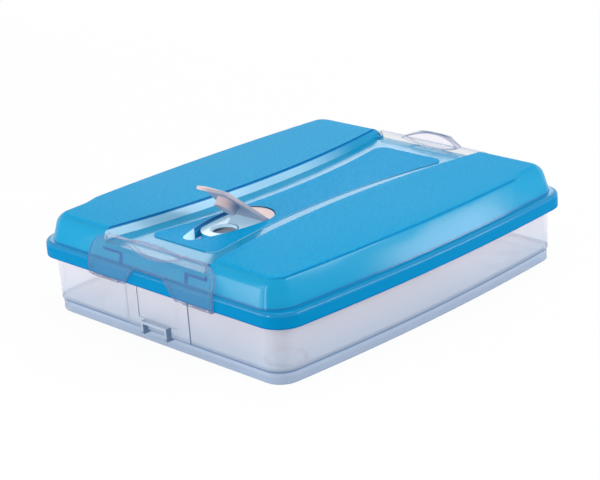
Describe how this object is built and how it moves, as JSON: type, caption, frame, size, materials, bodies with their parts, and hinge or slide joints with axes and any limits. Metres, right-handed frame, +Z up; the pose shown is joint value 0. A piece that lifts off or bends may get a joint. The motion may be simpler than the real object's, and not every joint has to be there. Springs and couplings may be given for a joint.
{
  "type": "snap lid food container",
  "caption": "Shallow rectangular food container with a domed lid, snap clips on the short ends and a hinged steam vent flap in the lid.",
  "frame": {"origin": "middle of the underside of the tray's foot, at the bottom centre of the whole", "axes": "+Z up, +Y along the length with the vent towards -Y, +X across"},
  "size_m": [0.21, 0.2432, 0.0807],
  "materials": {
    "clear_plastic": "clear, slightly frosted polypropylene",
    "blue_plastic": "translucent azure polypropylene, satin on top and glossy on its slopes",
    "milky_plastic": "clear, milky polypropylene",
    "pink_plastic": "soft satin moulding, pale peach pink"
  },
  "bodies": {
    "tray": {"tray": "clear_plastic"},
    "lid": {"lid": "blue_plastic", "vent_anchor": "pink_plastic"},
    "near_clip": {"near_clip": "milky_plastic"},
    "far_clip": {"far_clip": "milky_plastic"},
    "vent_flap": {"vent_flap": "pink_plastic"}
  },
  "joints": [
    {"name": "lid_lift", "type": "slide", "parent": "tray", "child": "lid", "axis": [0, 0, 1], "range_m": [0, 0.028]},
    {"name": "near_clip_hinge", "type": "hinge", "parent": "tray", "child": "near_clip", "pos_m": [0, -0.1173, 0.0333], "axis": [1, 0, 0], "range_deg": [0, 88]},
    {"name": "far_clip_hinge", "type": "hinge", "parent": "tray", "child": "far_clip", "pos_m": [0, 0.1173, 0.0333], "axis": [-1, 0, 0], "range_deg": [0, 88]},
    {"name": "vent_flap_hinge", "type": "hinge", "parent": "lid", "child": "vent_flap", "pos_m": [-0.003, -0.0395, 0.0523], "axis": [-1, 0, 0], "range_deg": [-42, 55]}
  ],
  "couplings": [
    {"joint": "near_clip_hinge", "follows": "lid_lift", "rad_per_m": 54.8},
    {"joint": "far_clip_hinge", "follows": "lid_lift", "rad_per_m": 54.8}
  ]
}
